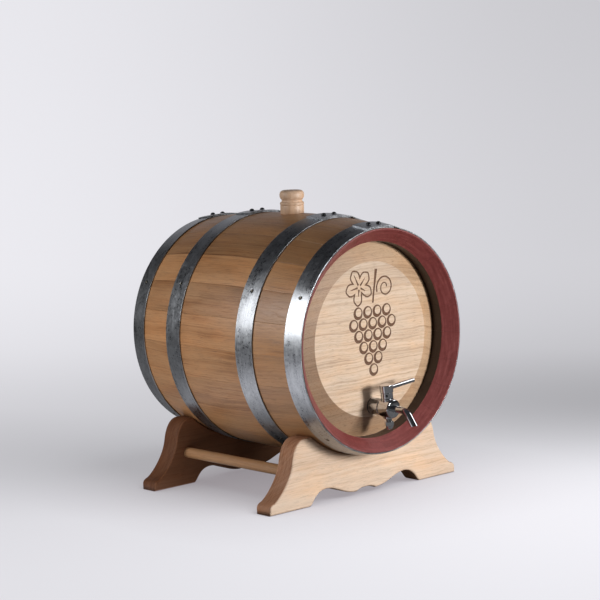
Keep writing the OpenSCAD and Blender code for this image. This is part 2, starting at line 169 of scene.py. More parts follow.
def loft(loops, geo=None, wrap=False):
    """Closed loops of equal length joined in turn; capped, or joined last to first."""
    geo = geo or Geo()
    loops = np.asarray(loops, float)
    rows, count = loops.shape[:2]
    faces = []
    for i in range(rows if wrap else rows - 1):
        a, b = i * count, ((i + 1) % rows) * count
        for j in range(count):
            k = (j + 1) % count
            faces.append((a + j, a + k, b + k, b + j))
    if not wrap:
        faces.append(tuple(range(count - 1, -1, -1)))
        faces.append(tuple((rows - 1) * count + j for j in range(count)))
    geo.add(loops.reshape(-1, 3), faces)
    return geo


def lathe(profile, count, place, geo=None):
    """A profile of (radius, height) turned about local Z, then moved by place.
    A profile that stays off the axis is closed into a ring."""
    geo = geo or Geo()
    points, rings, faces = [], [], []
    for r, height in profile:
        if r < 1e-6:
            rings.append([len(points)] * count)
            points.append((0, 0, height))
        else:
            first = len(points)
            rings.append([first + j for j in range(count)])
            turns = [2 * pi * j / count for j in range(count)]
            points += [(r * cos(turn), r * sin(turn), height) for turn in turns]
    closed = profile[0][0] > 1e-6 and profile[-1][0] > 1e-6
    for i in range(len(rings) if closed else len(rings) - 1):
        a, b = rings[i], rings[(i + 1) % len(rings)]
        for j in range(count):
            k = (j + 1) % count
            face = [a[j], a[k], b[k], b[j]]
            face = [v for at, v in enumerate(face) if v not in face[:at]]
            if len(face) > 2:
                faces.append(tuple(face))
    geo.add(place(np.array(points, float)), faces)
    return geo


def rod(radius, start, end, count, place):
    return lathe([(0, start), (radius, start), (radius, end), (0, end)], count, place)


def arc(centre, radius, start, end, count):
    """Points along an arc, both ends included; angles in degrees."""
    angles = [start + (end - start) * i / count for i in range(count + 1)]
    return [(centre[0] + radius * cosd(a), centre[1] + radius * sind(a)) for a in angles]


def cubic(a, b, c, d, count):
    """Points along a Bezier curve, without its first."""
    out = []
    for i in range(1, count + 1):
        t = i / count
        s = 1 - t
        out.append(tuple(s**3 * a[k] + 3 * t * s * s * b[k] + 3 * t * t * s * c[k] + t**3 * d[k]
                         for k in (0, 1)))
    return out


def inset(loop, depth):
    """An anticlockwise 2-D loop moved inward, corners mitred."""
    points = np.asarray(loop, float)
    edge = np.roll(points, -1, 0) - points
    edge /= np.linalg.norm(edge, axis=1)[:, None]
    normal = np.stack([-edge[:, 1], edge[:, 0]], 1)
    before = np.roll(normal, 1, 0)
    reach = np.maximum(1 + (normal * before).sum(1), 0.35)[:, None]
    return points + depth * (normal + before) / reach


def recalc_normals(bm, mesh):
    bmesh.ops.recalc_face_normals(bm, faces=bm.faces)
    bm.to_mesh(mesh)
    bm.free()


def make(name, geo, sharp=30, weighted=False):
    mesh = bpy.data.meshes.new(name)
    mesh.from_pydata([(x / 1000, y / 1000, z / 1000) for x, y, z in geo.verts], [], geo.faces)
    bm = bmesh.new()
    bm.from_mesh(mesh)
    recalc_normals(bm, mesh)
    ob = bpy.data.objects.new(name, mesh)
    scene.collection.objects.link(ob)
    finish_shading(ob, sharp, weighted)
    return ob


def finish_shading(ob, sharp=30, weighted=False):
    mesh = ob.data
    mesh.polygons.foreach_set("use_smooth", [True] * len(mesh.polygons))
    mesh.set_sharp_from_angle(angle=radians(sharp))
    mesh.update()
    if weighted and not ob.modifiers:
        mod = ob.modifiers.new("flat_faces", "WEIGHTED_NORMAL")
        mod.keep_sharp = True
        mod.weight = 80


def boolean(ob, geo, op="DIFFERENCE"):
    """Cuts geo out of the object, or joins it on, and cleans the mesh."""
    cutter = make("cutter", geo)
    mod = ob.modifiers.new("cut", "BOOLEAN")
    mod.operation, mod.solver, mod.object = op, "EXACT", cutter
    bpy.context.view_layer.update()
    depsgraph = bpy.context.evaluated_depsgraph_get()
    mesh = bpy.data.meshes.new_from_object(ob.evaluated_get(depsgraph))
    ob.modifiers.clear()
    old, ob.data = ob.data, mesh
    bpy.data.meshes.remove(old)
    cutter_mesh = cutter.data
    bpy.data.objects.remove(cutter)
    bpy.data.meshes.remove(cutter_mesh)
    bm = bmesh.new()
    bm.from_mesh(mesh)
    bmesh.ops.remove_doubles(bm, verts=bm.verts, dist=2e-7)
    bmesh.ops.dissolve_degenerate(bm, edges=bm.edges, dist=2e-7)
    recalc_normals(bm, mesh)


def bore(ob, radius, start, end, count, place):
    boolean(ob, rod(radius, start, end, count, place))


def keep_side(ob, z, upper):
    """Cuts a piece at the height z, keeps one side and closes the cut."""
    bm = bmesh.new()
    bm.from_mesh(ob.data)
    bmesh.ops.bisect_plane(bm, geom=bm.verts[:] + bm.edges[:] + bm.faces[:], dist=1e-7,
                           plane_co=(0, 0, z / 1000), plane_no=(0, 0, -1 if upper else 1),
                           clear_outer=True)
    bmesh.ops.holes_fill(bm, edges=[e for e in bm.edges if e.is_boundary], sides=0)
    recalc_normals(bm, ob.data)


# ---------------------------------------------------------------- places
# Each takes local points to the frame, all in millimetres.
def barrel_place(p):
    """Local Z goes up from the barrel's middle."""
    return p + np.array([0, MID_Y, AXIS_Z])


def tap_place(p):
    """The tap's own frame, leaning about its shank."""
    c, s = cosd(TAP_LEAN), sind(TAP_LEAN)
    return np.stack([p[:, 0] * c - p[:, 2] * s, p[:, 1] + MID_Y,
                     p[:, 0] * s + p[:, 2] * c + TAP_Z], 1)


def shank_place(p):
    """Local Z runs forward out of the head."""
    return tap_place(np.stack([p[:, 0], -p[:, 2], p[:, 1]], 1))


def plug_place(p):
    """Local Z runs up the tap's plug."""
    return tap_place(p + np.array([0, -PLUG_Y, 0]))


def surface_place(degrees, y, radius, lift):
    """Local Z stands on the barrel's surface, at an angle from the top."""
    turn, slope = radians(degrees), asin(-y / ARC_R)
    ct, st = cos(turn), sin(turn)
    out = np.array([st * cos(slope), -sin(slope), ct * cos(slope)])
    tangent = np.array([ct, 0, -st])
    side = np.cross(out, tangent)
    base = np.array([radius * st, y + MID_Y, AXIS_Z + radius * ct])
    return lambda p: base + p[:, :1] * tangent + p[:, 1:2] * side + (p[:, 2:3] + lift) * out


def dowel_place(x, sign, start):
    """Local Z runs along Y, starting at a distance from the barrel's middle."""
    return lambda p: np.stack([p[:, 0] + x, MID_Y + sign * (start + p[:, 2]),
                               DOWEL_Z + p[:, 1]], 1)


# ---------------------------------------------------------------- shader helpers
class NodeNet:
    """Builds a node tree with short calls; inputs may be sockets or plain values."""

    def __init__(self, tree):
        self.tree = tree
        tree.nodes.clear()

    def new(self, kind, inputs=None, **props):
        node = self.tree.nodes.new(kind)
        for key, value in props.items():
            setattr(node, key, value)
        for key, value in (inputs or {}).items():
            self.put(node.inputs[key], value)
        return node

    def put(self, socket, value):
        if isinstance(value, bpy.types.NodeSocket):
            self.tree.links.new(value, socket)
        elif socket.type == "RGBA" and len(value) == 3:
            socket.default_value = (*value, 1)
        else:
            socket.default_value = value

    def math(self, op, a, b=0.0, c=0.0, clamp=False):
        return self.new("ShaderNodeMath", {0: a, 1: b, 2: c}, operation=op,
                        use_clamp=clamp).outputs[0]

    def add(self, a, b, clamp=False):
        return self.math("ADD", a, b, clamp=clamp)

    def mul(self, a, b):
        return self.math("MULTIPLY", a, b)

    def mad(self, a, b, c):
        """a * b + c"""
        return self.math("MULTIPLY_ADD", a, b, c)

    def swing(self, value, gain, base=0.0):
        """A 0..1 value's swing about one half, times gain, laid over base."""
        return self.mad(self.math("SUBTRACT", value, 0.5), gain, base)

    def invert(self, value):
        return self.math("SUBTRACT", 1.0, value)

    def hypot(self, a, b):
        return self.math("SQRT", self.add(self.mul(a, a), self.mul(b, b)))

    def rise(self, value, start, end):
        """0 below start, 1 above end, smooth between."""
        return self.new("ShaderNodeMapRange",
                        {"Value": value, "From Min": start, "From Max": end},
                        interpolation_type="SMOOTHSTEP").outputs[0]

    def fall(self, value, start, end):
        return self.invert(self.rise(value, start, end))

    def split(self, vector):
        return tuple(self.new("ShaderNodeSeparateXYZ", {0: vector}).outputs)

    def noise(self, *axes, detail=2.0, rough=0.5, warp=0.0):
        """Noise over three axes, each a value, (value, scale) or (value, scale, offset)."""
        parts = {}
        for i, axis in enumerate(axes):
            if isinstance(axis, tuple):
                axis = self.mul(*axis) if len(axis) == 2 else self.mad(*axis)
            parts[i] = axis
        vector = self.new("ShaderNodeCombineXYZ", parts).outputs[0]
        return self.new("ShaderNodeTexNoise", {
            "Scale": 1.0, "Detail": detail, "Roughness": rough, "Distortion": warp,
            "Vector": vector}).outputs[0]

    def ramp(self, factor, stops, interpolation="LINEAR"):
        node = self.new("ShaderNodeValToRGB", {0: factor})
        node.color_ramp.interpolation = interpolation
        marks = node.color_ramp.elements
        while len(marks) > 1:
            marks.remove(marks[-1])
        marks[0].position, marks[0].color = stops[0][0], (*stops[0][1], 1)
        for position, colour in stops[1:]:
            marks.new(position).color = (*colour, 1)
        return node.outputs[0]

    def mix(self, factor, a, b, blend="MIX"):
        return self.new("ShaderNodeMix", {0: factor, 6: a, 7: b}, data_type="RGBA",
                        blend_type=blend, clamp_factor=True).outputs[2]

    def tint(self, colour, by):
        return self.mix(1.0, colour, by, "MULTIPLY")

    def tint_where(self, mask, colour, by):
        return self.mix(mask, colour, self.tint(colour, by))

    def grey(self, value):
        return self.new("ShaderNodeCombineColor", {0: value, 1: value, 2: value}).outputs[0]

    def prop(self, name):
        return self.new("ShaderNodeAttribute", attribute_type="OBJECT",
                        attribute_name=name).outputs["Fac"]

    def coords(self, kind):
        return self.new("ShaderNodeTexCoord").outputs[kind]

    def place(self, origin):
        """Object coordinates in millimetres about the origin given."""
        return self.split(self.new("ShaderNodeVectorMath", {
            0: self.coords("Object"), 1: (1000, 1000, 1000), 2: tuple(-q for q in origin)},
            operation="MULTIPLY_ADD").outputs[0])

    def surface(self, colour, rough, height, strength, distance, metallic=0.0, specular=0.5):
        bump = self.new("ShaderNodeBump",
                        {"Strength": strength, "Distance": distance, "Height": height})
        shader = self.new("ShaderNodeBsdfPrincipled", {
            "Base Color": colour, "Roughness": rough, "Metallic": metallic,
            "Specular IOR Level": specular, "Normal": bump.outputs[0]})
        self.new("ShaderNodeOutputMaterial", {0: shader.outputs[0]})


MATERIALS = {}


def material(name):
    mat = MATERIALS[name] = bpy.data.materials.new(name)
    mat.use_nodes = True
    return NodeNet(mat.node_tree)


def scaled(colour, factor):
    return tuple(factor * q for q in colour)


# ---------------------------------------------------------------- oak
# Noise scales are per millimetre throughout the object materials.
RED_DARK, RED, RED_LIGHT = (0.110, 0.014, 0.012), (0.164, 0.028, 0.025), (0.240, 0.056, 0.051)


def oak_figure(net, along, across, into, seed, ring, wave, wave_scale, lean):
    """The grain of sawn oak: growth rings, fine lines, pores and broad blotches."""
    offset = net.mul(seed, 97.0)           # each seed reads another part of the noise
    bend = net.noise((along, wave_scale), (across, 0.022, offset), (into, 0.02))
    grain = net.add(net.mad(into, lean, across), net.mad(bend, wave, 0.0))
    grain = net.add(grain, net.mul(offset, 3.0))
    rings = net.noise((along, 0.0045), (grain, ring), (into, 0.01), detail=3.5, rough=0.62)
    fine = net.noise((along, 0.022), (grain, 1.05), (into, 0.25), rough=0.6)
    pores = net.noise((along, 0.085), (grain, 2.1), (into, 1.3), detail=1.0)
    pores = net.rise(pores, start=0.58, end=0.72)
    blotch = net.noise((along, 0.012), (grain, 0.045, 4.0), offset)
    return rings, fine, pores, blotch


def stave_axes(net, x, y, z):
    """Grain axes that follow a stave's angle and bend, with the radius from the axis."""
    phi = net.prop("wood_phi")
    cos_phi, sin_phi = net.math("COSINE", phi), net.math("SINE", phi)
    radius = net.hypot(x, z)
    across = net.math("SUBTRACT", net.mul(x, cos_phi), net.mul(z, sin_phi))
    into = net.add(radius, net.mul(net.mul(y, y), 1 / (2 * ARC_R)))
    return y, across, into, radius


def brown_edges(net, col, stain, x, y, z, edges):
    """Sawn edges turn brown: grain streaks along them, and an all-over brown that is partly the
    edge wood and partly painted shade on edges turned from the light.
    """
    normal_y = net.split(net.coords("Normal"))[1]
    rim = net.fall(net.math("ABSOLUTE", normal_y), start=0.25, end=0.92)
    line = net.noise((y, 0.55), (z, 0.045), (x, 0.03), detail=3.0, rough=0.6)
    line = net.mul(net.rise(line, start=0.46, end=0.64), rim)
    col = net.tint_where(net.mul(line, 0.6), col, by=(0.60, 0.50, 0.42))
    # painted shade: the edges of a board in shade go darker still
    col = net.tint_where(net.mul(rim, stain), col, by=(0.42, 0.37, 0.34))
    return col, net.math("MAXIMUM", stain, net.mul(rim, edges))


def paint_chime(net, col, rough, height, x, y, z, radius):
    """Red paint on both stave ends, worn a little along its edge, and painted shade on the bare
    wall between the head and the paint.
    """
    from_mid = net.math("ABSOLUTE", y)
    wear = net.noise((x, 0.22), (y, 0.22), (z, 0.22), detail=3.0, rough=0.6)
    edge = net.swing(wear, gain=1.6, base=from_mid)
    inside = net.mul(net.rise(edge, HALF_LENGTH - 15.3, HALF_LENGTH - 14.9),
                     net.fall(radius, END_R - 0.55, END_R - 0.4))
    end = net.rise(from_mid, HALF_LENGTH - 0.42, HALF_LENGTH - 0.3)
    red = net.math("MAXIMUM", inside, end)
    # painted shade: the bare wall between the head and the red paint goes nearly black
    shaded_wall = net.mul(net.rise(from_mid, start=120.3, end=120.9),
                     net.fall(radius, WALL_R + 0.3, WALL_R + 0.8))
    col = net.tint_where(shaded_wall, col, by=(0.06, 0.035, 0.022))
    turn = net.math("ARCTAN2", x, z)
    streak = net.noise((turn, 5.0), (radius, 0.42), (y, 0.42), detail=3.0, rough=0.55)
    shade = net.add(net.swing(streak, gain=1.5, base=0.5), net.swing(wear, gain=0.8), clamp=True)
    col = net.mix(red, col, net.ramp(shade, [(0.0, RED_DARK), (0.5, RED), (1.0, RED_LIGHT)]))
    # the paint's roughness is 0.42 and up
    rough = net.add(net.mul(rough, net.invert(red)), net.mul(red, net.mad(streak, 0.25, 0.42)))
    return col, rough, net.add(height, net.mul(net.mul(streak, red), 0.9))


def shade_rim_and_char_head(net, col, rough, x, y, z):
    """A rim round the head's flat that is browner as cut wood and darker toward the lower left as
    painted shade, and char where the motif is sunk into it.
    """
    radius = net.hypot(x, z)
    # painted shade: the rim is darker toward the lower left, away from the light
    side = net.math("DIVIDE", net.mad(x, 0.55, net.mul(z, 0.45)),
                    net.math("MAXIMUM", radius, 1.0))
    rim = net.rise(radius, FLAT_R - 0.2, FLAT_R + 0.3)
    shade = net.mix(net.mad(side, 0.8, 0.5), (0.55, 0.46, 0.38), (0.93, 0.83, 0.71))
    col = net.tint_where(rim, col, by=shade)
    # char lies below the flat, inside its edge and on the front only
    sunk = net.fall(net.math("ABSOLUTE", net.add(y, 0.0)), HEAD_OUT - 0.12, HEAD_OUT - 0.05)
    zone = net.mul(sunk, net.fall(net.hypot(x, z), FLAT_R - 1.6, FLAT_R - 1.2))
    zone = net.mul(zone, net.rise(net.mul(y, -1.0), HEAD_OUT - 3.0, HEAD_OUT - 2.5))
    char = net.noise((x, 0.35), (z, 0.9), 2.0, detail=3.0, rough=0.6)
    ink = net.ramp(char, [(0.25, (0.075, 0.034, 0.018)), (0.55, (0.135, 0.066, 0.036)),
                          (0.8, (0.24, 0.13, 0.075))])
    return net.mix(zone, col, ink), net.add(rough, net.mul(zone, 0.3), clamp=True)


def oak(name, axes, origin, dark, base, light, *, contrast, ring, wave, rough, pore,
        wave_scale=0.010, lean=0.35, mottle=0.7, edges=0.0, specular=0.5, shaded_rim_and_char=False):
    """axes names the frame's axes along the grain, across it and into it, or is "stave"
    for the bent and painted staves. ring and wave_scale are noise scales, wave is how far
    the grain bends, lean how much depth shifts it, edges how brown the sawn edges are."""
    net = material(name)
    x, y, z = net.place(origin)
    seed, tone, stain = net.prop("wood_seed"), net.prop("wood_tone"), net.prop("wood_stain")
    if axes == "stave":
        along, across, into, radius = stave_axes(net, x, y, z)
    else:
        along, across, into = (dict(zip("xyz", (x, y, z)))[key] for key in axes)
    rings, fine, pores, blotch = oak_figure(net, along, across, into, seed, ring, wave,
                                            wave_scale, lean)
    figure = net.swing(rings, gain=1.7 * contrast, base=0.5)
    figure = net.add(figure, net.swing(fine, gain=0.75 * contrast))
    figure = net.add(figure, net.swing(blotch, gain=mottle * contrast), clamp=True)
    between = tuple(0.5 * (p + q) for p, q in zip(base, light))
    col = net.ramp(figure, [(0.0, dark), (0.42, base), (0.62, between), (1.0, light)])
    col = net.mix(net.mul(pores, pore), col, scaled(dark, 0.45))
    # rays: small pale flecks across the grain
    fleck = net.noise((along, 0.24), (across, 0.11), (into, 0.3, 9.0), rough=0.55)
    col = net.mix(net.mul(net.rise(fleck, start=0.58, end=0.74), 0.16), col, light)
    col = net.tint(col, net.grey(tone))
    # slow drift between cooler and warmer wood
    hue = net.noise((along, 0.016), (across, 0.05, 7.0), (seed, 31.0, net.mul(into, 0.05)),
                    detail=3.0, rough=0.6)
    col = net.tint(col, net.ramp(hue, [(0.30, (0.95, 0.985, 1.02)), (0.50, (1.0, 1.0, 1.0)),
                                       (0.70, (1.07, 1.0, 0.92))]))
    if edges:
        col, stain = brown_edges(net, col, stain, x, y, z, edges)
    # painted shade: a board set in shade turns a darker, deeper brown; sawn edges take the same
    # brown, partly their own wood and partly painted shade
    col = net.tint_where(stain, col, by=(0.43, 0.190, 0.075))
    # relief: sunken pores, raised lines and rings
    height = net.add(net.mul(pores, -0.7), net.add(net.mul(fine, 0.5), net.mul(rings, 0.6)))
    rough = net.add(net.swing(blotch, gain=0.25, base=rough), net.mul(pores, 0.12), clamp=True)
    if axes == "stave":
        col, rough, height = paint_chime(net, col, rough, height, x, y, z, radius)
    if shaded_rim_and_char:
        col, rough = shade_rim_and_char_head(net, col, rough, x, y, z)
    net.surface(col, rough, height, strength=0.25, distance=0.0005, specular=specular)


# ---------------------------------------------------------------- metals and rubber
def hoop_steel(dark, light, rough):
    """Clouded, spangled strip with faint lines round the hoop, and nail dimples darkened with
    painted shade.
    """
    net = material("hoop_steel")
    x, y, z = net.place((0, MID_Y, AXIS_Z))
    offset = net.mul(net.prop("wood_seed"), 61.0)
    girth = net.mul(net.math("ARCTAN2", x, z), 140.0)       # millimetres round the hoop
    cloud = net.noise((girth, 0.035), (y, 0.07, offset), 1.0, detail=4.0, rough=0.6, warp=0.6)
    spangle = net.noise((x, 0.33), (y, 0.33, offset), (z, 0.33), rough=0.55, warp=0.8)
    pits = net.noise((x, 0.75), (y, 0.75, offset), (z, 0.75), rough=0.6)
    pits = net.rise(pits, start=0.63, end=0.74)
    line = net.noise((girth, 0.02), (y, 1.3, offset), 5.0, rough=0.55)
    shade = net.add(net.swing(cloud, gain=1.2, base=0.5), net.swing(spangle, gain=0.9))
    shade = net.add(shade, net.swing(line, gain=0.8), clamp=True)
    col = net.mix(shade, dark, light)
    # specks only in patches
    speck = net.mul(pits, net.rise(cloud, start=0.55, end=0.68))
    col = net.mix(net.mul(speck, 0.14), col, scaled(dark, 0.35))
    # the metal is punched in round each nail and darkened there with painted shade; wood_phi
    # holds the hoop's place in y
    turn = net.math("ABSOLUTE", net.math("ARCTAN2", x, z))
    from_row = net.math("SUBTRACT", y, net.prop("wood_phi"))
    radius = 141.0
    near = [net.hypot(net.mad(turn, radius, -radius * radians(nail)), from_row)
            for nail in NAIL_DEGREES]
    dimple_and_shade = net.fall(net.math("MINIMUM", *near), start=1.9, end=2.8)
    col = net.mix(net.mul(dimple_and_shade, 0.9), col, (0.015, 0.015, 0.016))
    rough = net.add(net.swing(spangle, gain=0.30, base=rough), net.swing(cloud, gain=0.24))
    rough = net.add(net.mad(line, 0.08, rough), net.mul(speck, 0.07), clamp=True)
    # relief: slow waves, faint spangle and lines, sunken nail rings
    slow = net.noise((girth, 0.03), (y, 0.03, offset), 0.0, detail=1.0, rough=0.4)
    height = net.add(net.mul(slow, 2.2), net.add(net.mul(spangle, 0.10), net.mul(line, 0.05)))
    height = net.math("SUBTRACT", height, net.mul(dimple_and_shade, 0.8))
    net.surface(col, rough, height, strength=0.35, distance=0.001, metallic=1.0)


def plain(name, dark, light, *, rough, spread, bump, scale, metallic=1.0):
    """An even surface with foggy tone and roughness; spread is the roughness's swing."""
    net = material(name)
    point = net.place((0, MID_Y - 150, AXIS_Z - 80))
    fog = net.noise(*[(axis, scale * 0.3) for axis in point], detail=3.0, rough=0.6)
    fine = net.noise(*[(axis, scale * 2) for axis in point])
    col = net.mix(net.swing(fog, gain=1.8, base=0.5), dark, light)
    rough = net.add(net.swing(fog, gain=spread * 2, base=rough),
                    net.swing(fine, gain=spread * 0.5), clamp=True)
    net.surface(col, net.math("MAXIMUM", rough, 0.03), fine, strength=bump, distance=0.0002,
                metallic=metallic)


MIDDLE, UNDER = (0, MID_Y, AXIS_Z), (0, MID_Y, 0)
oak("stave_oak", "stave", MIDDLE, (0.186, 0.078, 0.027), (0.350, 0.170, 0.070),
    (0.446, 0.235, 0.105), contrast=0.66, ring=0.60, wave=6.0, wave_scale=0.013, rough=0.39,
    pore=0.42, mottle=1.7)
oak("head_oak", "xzy", MIDDLE, (0.36, 0.232, 0.142), (0.545, 0.39, 0.268),
    (0.645, 0.49, 0.36), contrast=0.95, ring=0.42, wave=9.0, wave_scale=0.014, rough=0.55,
    pore=0.52, lean=0.5, shaded_rim_and_char=True)
oak("cradle_oak", "xzy", UNDER, (0.438, 0.289, 0.187), (0.645, 0.472, 0.345),
    (0.74, 0.573, 0.437), contrast=0.70, ring=0.32, wave=11.0, rough=0.5, pore=0.34,
    lean=0.9, edges=0.75, specular=0.12)
oak("dowel_oak", "yxz", UNDER, (0.20, 0.095, 0.038), (0.33, 0.175, 0.083),
    (0.41, 0.235, 0.12), contrast=0.7, ring=0.35, wave=3.0, rough=0.42, pore=0.3,
    specular=0.35)
oak("bung_oak", "zxy", MIDDLE, (0.38, 0.23, 0.14), (0.53, 0.345, 0.222),
    (0.62, 0.43, 0.30), contrast=0.8, ring=0.4, wave=2.0, rough=0.45, pore=0.25)
hoop_steel(dark=(0.165, 0.172, 0.184), light=(0.455, 0.47, 0.495), rough=0.29)
plain("rivet_steel", (0.020, 0.020, 0.022), (0.075, 0.075, 0.08),
      rough=0.38, spread=0.15, bump=0.3, scale=1.5)
plain("nail_steel", (0.06, 0.055, 0.05), (0.22, 0.20, 0.16),
      rough=0.38, spread=0.15, bump=0.4, scale=2.0)
plain("tap_chrome", (0.48, 0.49, 0.51), (0.62, 0.63, 0.65),
      rough=0.08, spread=0.05, bump=0.05, scale=0.6)
plain("screw_steel", (0.03, 0.03, 0.032), (0.09, 0.09, 0.095),
      rough=0.4, spread=0.15, bump=0.2, scale=1.5)
plain("washer_rubber", (0.03, 0.03, 0.03), (0.07, 0.07, 0.07),
      rough=0.7, spread=0.1, bump=0.3, scale=1.0, metallic=0.0)


def dress(ob, mat, seed, tone=1.0, phi=0.0, stain=0.0):
    """Gives the object its material and the values that the material reads."""
    ob.data.materials.clear()
    ob.data.materials.append(MATERIALS[mat])
    ob["wood_seed"], ob["wood_tone"] = float(seed), float(tone)
    ob["wood_phi"], ob["wood_stain"] = float(phi), float(stain)


def adopt(ob, node, mat, seed=0.0, slot=None, **look):
    """The piece stands for a CAD node and rides on its body; slot is not used."""
    dress(ob, mat, seed, **look)
    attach(ob, BODY_OF[node])
    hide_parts(node)


# ---------------------------------------------------------------- staves
# rounded joint edges: (degrees in from the joint, millimetres off the surface)
STAVE_EASE = [(0.0, 0.16), (0.05, 0.06), (0.12, 0.015), (0.24, 0.0)]
JOINT_GAP = 0.03                                   # degrees left at each side


def stave_section():
    """The outer curve and the rest of a stave's section, as (radius, y)."""
    ys = np.linspace(-HALF_LENGTH, HALF_LENGTH, 65)
    outer = np.stack([stave_r(ys), ys], 1)
    end = [(END_R - 1.5, HALF_LENGTH), (WALL_R, HALF_LENGTH - 14.8),
           (WALL_R, GROOVE_OUT), (WALL_R + GROOVE_DEPTH, GROOVE_OUT),
           (WALL_R + GROOVE_DEPTH, GROOVE_IN), (WALL_R + 0.6, GROOVE_IN)]
    inner_ys = np.linspace(104, -104, 25)
    inner = np.stack([stave_r(inner_ys) - STAVE_T, inner_ys], 1)
    rest = end + [tuple(q) for q in inner] + [(r, -y) for r, y in reversed(end)]
    return outer, np.array(rest)


def stave(node, start, end, seed, tone):
    """A stave between two angles in degrees, measured from the top toward +X."""
    outer, rest = stave_section()
    widest = STAVE_EASE[-1][0]
    steps = max(6, int((end - start) / 1.1))
    flat = np.linspace(start + JOINT_GAP + widest, end - JOINT_GAP - widest, steps + 1)[1:-1]
    stations = [(start + JOINT_GAP + e, drop) for e, drop in STAVE_EASE]
    stations += [(angle, 0.0) for angle in flat]
    stations += [(end - JOINT_GAP - e, drop) for e, drop in reversed(STAVE_EASE)]
    loops = []
    for angle, drop in stations:
        section = np.vstack([outer - np.array([drop, 0]), rest])
        s, c = sind(angle), cosd(angle)
        loops.append(np.stack([section[:, 0] * s, section[:, 1] + MID_Y,
                               AXIS_Z + section[:, 0] * c], 1))
    ob = make(node + "_wood", loft(loops), sharp=22)
    if node == "stave_bung":
        hole = [(0, 110), (12.55, 110), (14.8, 155), (0, 155)]
        boolean(ob, lathe(hole, 64, barrel_place))
        finish_shading(ob, 22)
    adopt(ob, node, "stave_oak", seed, tone=tone, phi=radians((start + end) / 2))


TONES_LEFT = [0.90, 0.84, 1.25, 0.95, 1.15, 1.03, 0.93, 0.95, 0.98, 0.95]
TONES_RIGHT = [0.96, 0.88, 1.02, 0.92, 1.0, 0.95, 1.03, 0.9, 0.98, 0.93]
stave("stave_bung", -BUNG_HALF, BUNG_HALF, seed=0.11, tone=0.90)
for i in range(SIDE_COUNT):
    angle = BUNG_HALF + i * SIDE_STEP
    stave(f"stave_left_{i + 1:02d}", -angle - SIDE_STEP, -angle,
          seed=0.17 + 0.071 * i, tone=TONES_LEFT[i])
    stave(f"stave_right_{i + 1:02d}", angle, angle + SIDE_STEP,
          seed=0.93 + 0.083 * i, tone=TONES_RIGHT[i])
stave("stave_bottom", BUNG_HALF + SIDE_COUNT * SIDE_STEP,
      360 - BUNG_HALF - SIDE_COUNT * SIDE_STEP, seed=0.55, tone=0.95)


# ---------------------------------------------------------------- heads and burnt-in motif
def prism(geo, loop, hole=None):
    """A flat shape in the front head's plane, made solid through the head's face."""
    outer_y, inner_y = HEAD_OUT + 1.0, HEAD_OUT - 0.5

    def at(p, y):
        return np.stack([p[:, 0], np.full(len(p), MID_Y - y), AXIS_Z + p[:, 1]], 1)

    loops = [at(loop, outer_y), at(loop, inner_y)]
    if hole is None:
        loft(loops, geo)
        return
    loops += [at(hole, inner_y), at(hole, outer_y)]
    count = len(loop)
    faces = []
    for i in range(count):
        k = (i + 1) % count
        for s in range(4):
            t = (s + 1) % 4
            faces.append((s * count + i, s * count + k, t * count + k, t * count + i))
    geo.add(np.vstack(loops), faces)


def strip(path, widths):
    """A band of the given widths along a path, as a closed loop."""
    points = np.asarray(path, float)
    tangent = np.gradient(points, axis=0)
    tangent /= np.linalg.norm(tangent, axis=1)[:, None]
    normal = np.stack([-tangent[:, 1], tangent[:, 0]], 1)
    normal = normal * (np.asarray(widths, float)[:, None] / 2)
    return np.vstack([points - normal, (points + normal)[::-1]])


def grape_motif():
    """A bunch of grapes with a vine leaf and a tendril, as cutting prisms."""
    geo = Geo()

    def grow(p):
        """From drawn (x, z) to its size and place about the barrel's axis."""
        return np.array([2.0, 31.0]) + 1.17 * (np.asarray(p, float) - np.array([2.0, 32.5]))

    def cut(loop, hole=None):
        prism(geo, grow(loop), None if hole is None else grow(hole))

    # grapes, in rows of these counts from the top
    turn = np.linspace(0, 2 * pi, 41)[:-1]
    ring = np.stack([np.cos(turn), np.sin(turn)], 1)
    for row, count in enumerate((4, 5, 4, 3, 2, 1)):
        for k in range(count):
            centre = np.array([3.0 + (k - (count - 1) / 2) * 13.6, 34.0 - row * 11.9])
            cut(centre + 6.5 * ring, centre + np.array([0.8, 0.9]) + 4.1 * ring)
    # leaf: five lobes with a notch at the stem and a toothed edge
    centre, tilt = np.array([-15.0, 60.5]), radians(118)
    turn = np.linspace(0, 2 * pi, 151)[:-1]
    lobe = 0.60 + 0.40 * np.abs(np.cos(2.5 * turn)) ** 0.9
    from_stem = np.abs(((turn + pi) % (2 * pi)) - pi) - pi
    lobe *= 1 - 0.30 * np.exp(-(from_stem / 0.24) ** 2)
    saw = 0.035 * np.abs(((turn * 15 / pi) % 2) - 1)
    radius = 19.0 * (lobe + saw)
    leaf = centre + np.stack([radius * np.cos(turn + tilt), radius * np.sin(turn + tilt)], 1)
    cut(leaf, inset(leaf, 1.6))
    # veins: (lobe, length)
    for k, length in ((0, 14.5), (1, 12.5), (-1, 12.5), (2, 9.5), (-2, 9.5)):
        angle = tilt + k * 2 * pi / 5
        along = np.array([cos(angle), sin(angle)])
        start, end = centre + 2.2 * along, centre + length * along
        path = [start + (end - start) * q for q in np.linspace(0, 1, 6)]
        cut(strip(path, np.linspace(2.2, 0.6, 6)))
    # stalk
    q = np.linspace(0, 1, 12)
    stalk = np.stack([4.0 + 2.0 * np.sin(q * 2.2) + 4.0 * q**2, 43.0 + 34.0 * q], 1)
    cut(strip(stalk, 2.2 + 1.6 * q**3))
    # tendril, a spiral
    q = np.linspace(0, 1, 70)
    radius, angle = 10.5 * (1 - q) ** 0.8 + 1.8, radians(200) - q * radians(560)
    spiral = np.stack([22.0 + radius * np.cos(angle), 57.5 + radius * np.sin(angle)], 1)
    cut(strip(spiral, 1.9 - 0.7 * q))
    return geo


